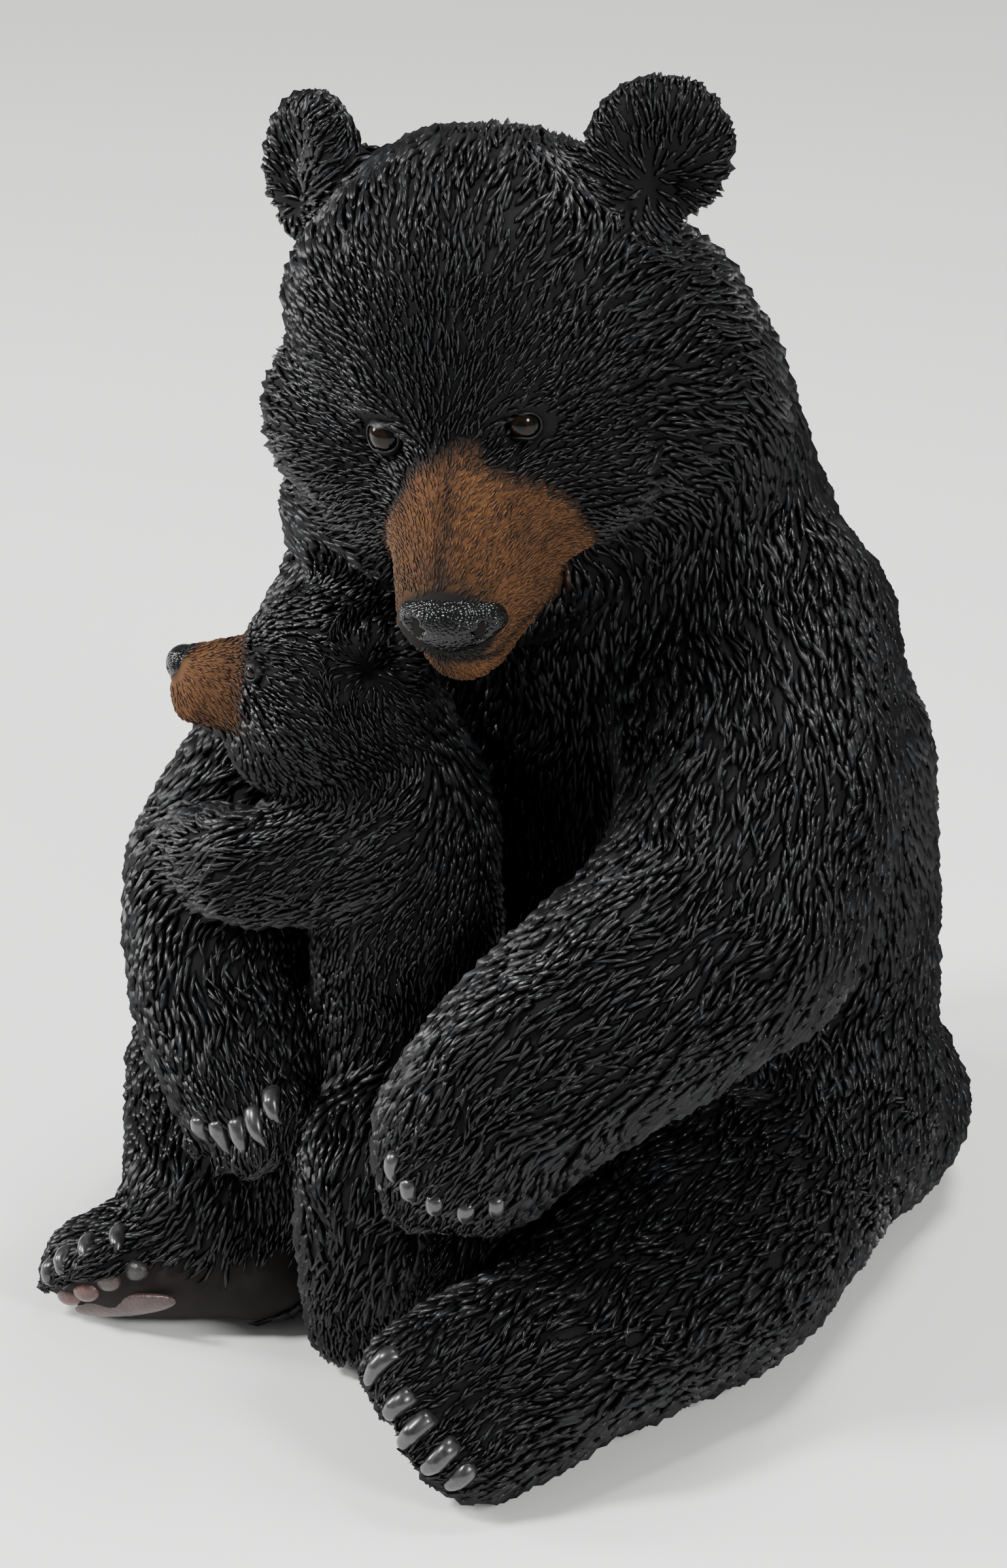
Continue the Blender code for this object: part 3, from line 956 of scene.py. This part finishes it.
def pad(name, middle, radii, facing, along):
    nothing_selected()
    bpy.ops.mesh.primitive_uv_sphere_add(segments=24, ring_count=14, radius=1.0)
    ob = bpy.context.object
    ob.name = name
    bpy.ops.object.mode_set(mode="EDIT")
    work = bmesh.from_edit_mesh(ob.data)
    for vert in work.verts:
        vert.select = vert.co.z < -0.2
    work.select_flush_mode()
    bmesh.update_edit_mesh(ob.data)
    bpy.ops.transform.resize(value=(1, 1, 0.35))
    bpy.ops.object.mode_set(mode="OBJECT")
    facing = Vector(facing).normalized()
    side = (Vector(along) - facing * facing.dot(Vector(along))).normalized()
    turn = Matrix((side, facing.cross(side), facing)).transposed().to_4x4()
    size = Matrix.Diagonal((radii[0] / 1000, radii[1] / 1000, radii[2] / 1000, 1))
    ob.data.transform(Matrix.Translation(place(*middle)) @ turn @ size)
    bpy.ops.object.shade_smooth()
    return ob


pad_pieces = []
for k, (middle, radius, _) in enumerate(TOE_PADS):
    radii = (radius, radius * 0.8, radius * 0.62)
    pad_pieces.append(pad(f"right_toe_pad_{k + 1}", middle, radii, FOOT_OUT, (1, 0.3, 0.6)))
pad_pieces.append(pad("right_ball_pad", (-76, -225, 13), (24, 5.0, 2.2), FOOT_OUT, (0.9, 0.25, 0.42)))
print(len(pad_pieces), "pads")

# %% [markdown]
# ## Pad paint
# The pads are painted like bare skin: pink or grey with darker blotches of
# about six millimetres, and wrinkles about a millimetre apart.

# %% Paint the pads
for ob, grey in zip(pad_pieces, [row[2] for row in TOE_PADS] + [0.55]):
    bare = new_material("satin paint of " + ob.name, [("IOR", 1.5), ("Roughness", 0.42)])
    where = node(bare, "ShaderNodeTexCoord")
    blotch = node(bare, "ShaderNodeTexNoise", [("Scale", 160.0), ("Detail", 4.0)],
                  [("Vector", where, "Object")])
    shades = node(bare, "ShaderNodeValToRGB", [], [("Fac", blotch, "Fac")])
    mixed = [a + (b - a) * grey for a, b in zip(PINK, PAD_GREY)]
    shades.color_ramp.elements[0].position = 0.30
    shades.color_ramp.elements[0].color = (*[c * 0.45 for c in mixed], 1)
    shades.color_ramp.elements[1].position = 0.62
    shades.color_ramp.elements[1].color = (*mixed, 1)
    wrinkles = node(bare, "ShaderNodeTexVoronoi", [("Scale", 900.0)], [("Vector", where, "Object")])
    rise = node(bare, "ShaderNodeBump", [("Strength", 0.5), ("Distance", 0.0003)],
                [("Height", wrinkles, "Distance")])
    plug(bare, shades, "Color", "Base Color")
    plug(bare, rise, "Normal", "Normal")
    ob.data.materials.append(bare)

# %% [markdown]
# ## Nose pads
# A bear's nose is wet-looking leather with fine pebbles and two comma-shaped
# nostrils. Each pad starts as a ball that is flattened, and its nostrils are
# faces near one place, inset and pushed inwards.

# %% Model the nose pads
def nose_pad(name, middle, radii, turn, nostrils, reach, depth):
    nothing_selected()
    bpy.ops.mesh.primitive_uv_sphere_add(segments=40, ring_count=24, radius=1.0)
    ob = bpy.context.object
    ob.name = name
    bpy.ops.object.mode_set(mode="EDIT")
    bpy.ops.mesh.select_all(action="SELECT")
    bpy.ops.transform.resize(value=[r / 1000 for r in radii])
    work = bmesh.from_edit_mesh(ob.data)
    for nostril in nostrils:
        centre = Vector(nostril) / 1000
        bpy.ops.mesh.select_all(action="DESELECT")
        for face in work.faces:
            if (face.calc_center_median() - centre).length < reach / 1000:
                face.select = True
        work.select_flush_mode()
        bmesh.update_edit_mesh(ob.data)
        bpy.ops.mesh.inset(thickness=0.0002, depth=0.0)
        bpy.ops.transform.translate(value=-centre.normalized() * depth / 1000)
        bpy.ops.transform.resize(value=(0.75, 0.75, 0.75))
    # Flatten the top and narrow the lower half towards the lip
    for vert in work.verts:
        up = vert.co.z * 1000 / radii[2]
        vert.co.x *= 1.0 - 0.38 * max(0.0, -up)
        vert.co.z -= 0.0014 * max(0.0, up - 0.45)
    bmesh.update_edit_mesh(ob.data)
    bpy.ops.object.mode_set(mode="OBJECT")
    ob.rotation_euler = (0, 0, math.radians(turn))
    ob.location = place(*middle)
    bpy.ops.object.transform_apply(location=True, rotation=True, scale=True)
    rounder = ob.modifiers.new("rounder", "SUBSURF")
    rounder.levels = rounder.render_levels = 1
    bpy.ops.object.modifier_apply(modifier="rounder")
    bpy.ops.object.shade_smooth()
    print(name, triangles(ob), "triangles")
    return ob


nose = nose_pad("mother_nose", (49.0, -191.0, 299.5), (18.4, 12.2, 11.2), 30,
                ((12.0, -8.0, -0.5), (-12.0, -8.0, -0.5)), 3.5, 3.4)
cub_nose = nose_pad("cub_nose", (-69.5, -190.5, 253), (7.0, 6.6, 7.6), -62,
                    ((3.5, -4.5, -1), (-3.5, -4.5, -1)), 1.4, 1.6)

# %% [markdown]
# ## Nose paint
# Gloss black over pebbles that are about a millimetre wide, as on a real
# bear's nose. The pebbles only show where the light glances off.

# %% Paint the nose pads
leather = new_material("gloss black nose paint", [
    ("IOR", 1.45), ("Roughness", 0.20), ("Specular IOR Level", 0.30),
    ("Base Color", (*linear("#070808"), 1))])
where = node(leather, "ShaderNodeTexCoord")
pebbles = node(leather, "ShaderNodeTexVoronoi", [("Scale", 850.0)], [("Vector", where, "Object")])
rise = node(leather, "ShaderNodeBump", [("Strength", 1.0), ("Distance", 0.0004), ("invert", True)],
            [("Height", pebbles, "Distance")])
plug(leather, rise, "Normal", "Normal")
for ob in (nose, cub_nose):
    ob.data.materials.append(leather)

# %% [markdown]
# ## Eyes
# The inset eyes are glossy half balls: a black pupil, a dark brown iris and a
# nearly black rim, under clear varnish. The ball's rings run round its line
# of sight, so faces can be chosen by their angle from it.

# %% Eye paint
VARNISH = [("IOR", 1.45), ("Roughness", 0.05), ("Specular IOR Level", 0.20)]
iris = new_material("brown iris under varnish", VARNISH)
where = node(iris, "ShaderNodeTexCoord")
rays = node(iris, "ShaderNodeTexNoise", [("Scale", 900.0)], [("Vector", where, "Object")])
shades = node(iris, "ShaderNodeValToRGB", [], [("Fac", rays, "Fac")])
shades.color_ramp.elements[0].color = (*linear("#0b0603"), 1)
shades.color_ramp.elements[1].color = (*linear("#1f1109"), 1)
plug(iris, shades, "Color", "Base Color")
pupil = new_material("black pupil under varnish", VARNISH + [("Base Color", (*linear("#050505"), 1))])

# %% Model the eyes
# Degrees from the line of sight at which the iris starts and ends
IRIS_FROM = 18
IRIS_TO = 40


def eye(name, middle, radius, sight):
    nothing_selected()
    bpy.ops.mesh.primitive_uv_sphere_add(segments=32, ring_count=24, radius=radius / 1000)
    ob = bpy.context.object
    ob.name = name
    for material in (iris, pupil):
        ob.data.materials.append(material)
    for face in ob.data.polygons:
        angle = math.degrees(Vector(face.center).angle(Vector((0, 0, 1))))
        face.material_index = 0 if IRIS_FROM < angle < IRIS_TO else 1
    ob.rotation_euler = Vector(sight).to_track_quat("Z", "Y").to_euler()
    ob.location = place(*middle)
    bpy.ops.object.transform_apply(location=True, rotation=True, scale=True)
    bpy.ops.object.shade_smooth()
    return ob


# Each row: piece, solid, middle, radius and line of sight
EYES = (
    ("gloss_eye_mother_left", "mother_left_eye", (50.6, -156.2, 358), 6.5, (0.55, -0.80, 0.10)),
    ("gloss_eye_mother_right", "mother_right_eye", (8.8, -174.5, 349.8), 6.5, (0.05, -1.0, -0.05)),
    ("gloss_eye_cub_left", "cub_left_eye", (-33.5, -195, 261), 3.4, (-0.35, -0.9, 0.05)),
    ("gloss_eye_cub_right", "cub_right_eye", (-50, -160, 268), 3.4, (-0.9, 0.35, 0.25)),
)
eye_pieces = []
for name, solid, middle, radius, sight in EYES:
    ob = eye(name, middle, radius, sight)
    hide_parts(solid)
    eye_pieces.append(ob)
print(len(eye_pieces), "eyes")

# %% [markdown]
# ## Eyelids
# A lid hugs the ball like a hood with an almond opening. It starts as a ball
# one step larger, with its rings round the line of sight. The front cap is
# taken off, the edge ring is shaped to an almond, and the wall gets its
# thickness.

# %% Model the lids
# Degrees from the line of sight: front and back edge of the ball's ring, and half the
# width and height of the almond opening
LID_FRONT = 22.5
LID_BACK = 112
WIDE = 62
HIGH = 29


def lids(name, middle, radius, sight):
    nothing_selected()
    bpy.ops.mesh.primitive_uv_sphere_add(segments=32, ring_count=24, radius=(radius + 0.2) / 1000)
    ob = bpy.context.object
    ob.name = name
    work = bmesh.new()
    work.from_mesh(ob.data)
    ahead = Vector((0, 0, 1))
    cap = [v for v in work.verts if v.co.angle(ahead) < math.radians(LID_FRONT - 0.5)]
    back = [v for v in work.verts if v.co.angle(ahead) > math.radians(LID_BACK)]
    bmesh.ops.delete(work, geom=cap + back, context="VERTS")
    for vert in work.verts:
        angle = math.degrees(vert.co.angle(ahead))
        around = math.atan2(vert.co.y, vert.co.x)
        edge = HIGH + (WIDE - HIGH) * abs(math.cos(around)) ** 1.6
        share = (angle - LID_FRONT) / (LID_BACK - LID_FRONT)
        angle = math.radians(edge + (LID_BACK - edge) * share)
        out = math.sin(angle)
        vert.co = Vector((out * math.cos(around), out * math.sin(around), math.cos(angle))) * vert.co.length
    work.to_mesh(ob.data)
    work.free()
    wall = ob.modifiers.new("wall", "SOLIDIFY")
    wall.thickness = 0.0007
    wall.offset = 1.0
    rounder = ob.modifiers.new("rounder", "SUBSURF")
    rounder.levels = rounder.render_levels = 1
    only(ob)
    bpy.ops.object.modifier_apply(modifier="wall")
    bpy.ops.object.modifier_apply(modifier="rounder")
    # The ball's Y stays up and its X goes from corner to corner
    forward = Vector(sight).normalized()
    side = Vector((0, 0, 1)).cross(forward).normalized()
    ob.data.transform(Matrix.Translation(place(*middle))
                      @ Matrix((side, forward.cross(side), forward)).transposed().to_4x4())
    bpy.ops.object.shade_smooth()
    return ob


lid_paint = new_material("satin black lid paint", [
    ("IOR", 1.5), ("Roughness", 0.40), ("Specular IOR Level", 0.25),
    ("Base Color", (*linear("#0d0c0d"), 1))])
where = node(lid_paint, "ShaderNodeTexCoord")
folds = node(lid_paint, "ShaderNodeTexNoise", [("Scale", 1500.0)], [("Vector", where, "Object")])
rise = node(lid_paint, "ShaderNodeBump", [("Strength", 0.4), ("Distance", 0.0003)],
            [("Height", folds, "Fac")])
plug(lid_paint, rise, "Normal", "Normal")
lid_pieces = []
for name, _, middle, radius, sight in EYES:
    ob = lids(name.replace("gloss_eye", "lids"), middle, radius, sight)
    ob.data.materials.append(lid_paint)
    lid_pieces.append(ob)
    print(ob.name, triangles(ob), "triangles")

# %% [markdown]
# ## Ride, measure and finish
# Nothing moves on a statue, so every piece rides on its one body. The last
# step prints the dressed statue's box.

# %% Ride on the body and finish
for ob in [skin, nose, cub_nose, *fur_pieces, *claw_pieces, *lid_pieces, *pad_pieces]:
    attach(ob, "root")
for ob in eye_pieces:
    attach(ob, "root")
low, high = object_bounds()
print("dressed box", [round(v, 4) for v in low], [round(v, 4) for v in high])
